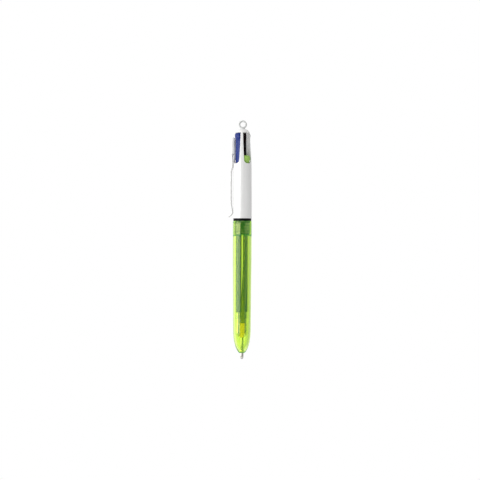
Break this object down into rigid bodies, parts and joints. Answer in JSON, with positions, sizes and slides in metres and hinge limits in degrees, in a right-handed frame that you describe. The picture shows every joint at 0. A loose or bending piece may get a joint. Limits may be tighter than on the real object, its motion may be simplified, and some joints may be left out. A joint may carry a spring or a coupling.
{
  "type": "multicolor click pen",
  "caption": "Retractable multicolor click pen with coloured slide buttons, pocket clip, lanyard eye and a screw-off translucent lower barrel.",
  "frame": {"origin": "on the pen's axis, in the middle of the straight stretch of the lower barrel where a pen loop or holder grips it", "axes": "+Z along the barrel from the writing tip to the lanyard eye, -X towards the pocket clip; the slider slots are on the diagonals"},
  "size_m": [0.015, 0.0116, 0.148],
  "materials": {
    "white_barrel": "glossy moulded plastic",
    "lanyard_grey": "glossy moulded plastic, slightly translucent",
    "black_collar": "glossy black plastic",
    "trim_black": "satin black plastic",
    "guide_white": "natural moulded plastic",
    "fluo_barrel": "translucent fluorescent plastic",
    "blue_plastic": "glossy moulded plastic",
    "black_plastic": "glossy moulded plastic",
    "red_plastic": "glossy moulded plastic",
    "fluo_plastic": "glossy moulded plastic",
    "spring_steel": "drawn spring wire",
    "tube_clear": "clear extruded tube",
    "blue_ink": "liquid",
    "black_ink": "liquid",
    "red_ink": "liquid",
    "fluo_ink": "fluorescent liquid",
    "follower_grease": "clear grease",
    "tip_metal": "turned nickel silver",
    "ball_carbide": "ground carbide"
  },
  "bodies": {
    "upper": {"upper_barrel": "white_barrel", "lanyard_eye": "lanyard_grey", "threaded_collar": "black_collar", "refill_guide": "guide_white", "blue_spring": "spring_steel", "black_spring": "spring_steel", "red_spring": "spring_steel", "fluo_spring": "spring_steel"},
    "clip": {"pocket_clip": "white_barrel"},
    "trim_ring": {"trim_ring": "trim_black"},
    "lower": {"lower_barrel": "fluo_barrel"},
    "blue_slider": {"blue_slider": "blue_plastic", "blue_refill_tube": "tube_clear", "blue_ink": "blue_ink"},
    "blue_point": {"blue_tip": "tip_metal", "blue_ball": "ball_carbide"},
    "black_slider": {"black_slider": "black_plastic", "black_refill_tube": "tube_clear", "black_ink": "black_ink"},
    "black_point": {"black_tip": "tip_metal", "black_ball": "ball_carbide"},
    "red_slider": {"red_slider": "red_plastic", "red_refill_tube": "tube_clear", "red_ink": "red_ink"},
    "red_point": {"red_tip": "tip_metal", "red_ball": "ball_carbide"},
    "fluo_slider": {"fluo_slider": "fluo_plastic", "fluo_refill_tube": "tube_clear", "fluo_ink": "fluo_ink", "fluo_follower": "follower_grease"},
    "fluo_point": {"fluo_tip": "tip_metal", "fluo_ball": "ball_carbide"}
  },
  "joints": [
    {"name": "blue_slide", "type": "slide", "parent": "upper", "child": "blue_slider", "axis": [0, 0, -1], "range_m": [0, 0.014], "stiffness_N_per_m": 60, "springref_m": -0.006, "deforming": ["blue_spring", "blue_refill_tube", "blue_ink", "blue_tip", "blue_ball"]},
    {"name": "blue_point_swing", "type": "slide", "parent": "blue_slider", "child": "blue_point", "axis": [0.7071, 0.7071, 0], "range_m": [0, 0.00285]},
    {"name": "black_slide", "type": "slide", "parent": "upper", "child": "black_slider", "axis": [0, 0, 1], "range_m": [-0.014, 0], "stiffness_N_per_m": 60, "springref_m": 0.006, "deforming": ["black_spring", "black_refill_tube", "black_ink", "black_tip", "black_ball"]},
    {"name": "black_point_swing", "type": "slide", "parent": "black_slider", "child": "black_point", "axis": [0.7071, 0.7071, 0], "range_m": [-0.00285, 0]},
    {"name": "red_slide", "type": "slide", "parent": "upper", "child": "red_slider", "axis": [0, 0, 1], "range_m": [-0.014, 0], "stiffness_N_per_m": 60, "springref_m": 0.006, "deforming": ["red_spring", "red_refill_tube", "red_ink", "red_tip", "red_ball"]},
    {"name": "red_point_swing", "type": "slide", "parent": "red_slider", "child": "red_point", "axis": [-0.7071, 0.7071, 0], "range_m": [-0.00285, 0]},
    {"name": "fluo_slide", "type": "slide", "parent": "upper", "child": "fluo_slider", "axis": [0, 0, 1], "range_m": [0, 0.014], "deforming": ["fluo_spring", "fluo_refill_tube", "fluo_ink", "fluo_tip", "fluo_ball", "fluo_follower"]},
    {"name": "fluo_point_swing", "type": "slide", "parent": "fluo_slider", "child": "fluo_point", "axis": [0.7071, -0.7071, 0], "range_m": [0, 0.00285]},
    {"name": "clip_flex", "type": "hinge", "parent": "upper", "child": "clip", "pos_m": [-0.00645, 0, 0.0524], "axis": [0, 1, 0], "range_deg": [0, 5], "stiffness_Nm_per_rad": 0.5, "springref_deg": -2.86},
    {"name": "barrel_unscrew", "type": "hinge", "parent": "upper", "child": "trim_ring", "pos_m": [0, 0, 0], "axis": [0, 0, -1], "range_deg": [0, 1621]},
    {"name": "barrel_lead", "type": "slide", "parent": "trim_ring", "child": "lower", "axis": [0, 0, -1], "range_m": [0, 0.0072]}
  ],
  "couplings": [
    {"joint": "blue_point_swing", "follows": "blue_slide", "ratio": 0.20357},
    {"joint": "black_point_swing", "follows": "black_slide", "ratio": 0.20357},
    {"joint": "red_point_swing", "follows": "red_slide", "ratio": 0.20357},
    {"joint": "fluo_point_swing", "follows": "fluo_slide", "ratio": 0.20357},
    {"joint": "barrel_unscrew", "follows": "barrel_lead", "rad_per_m": 3927}
  ]
}
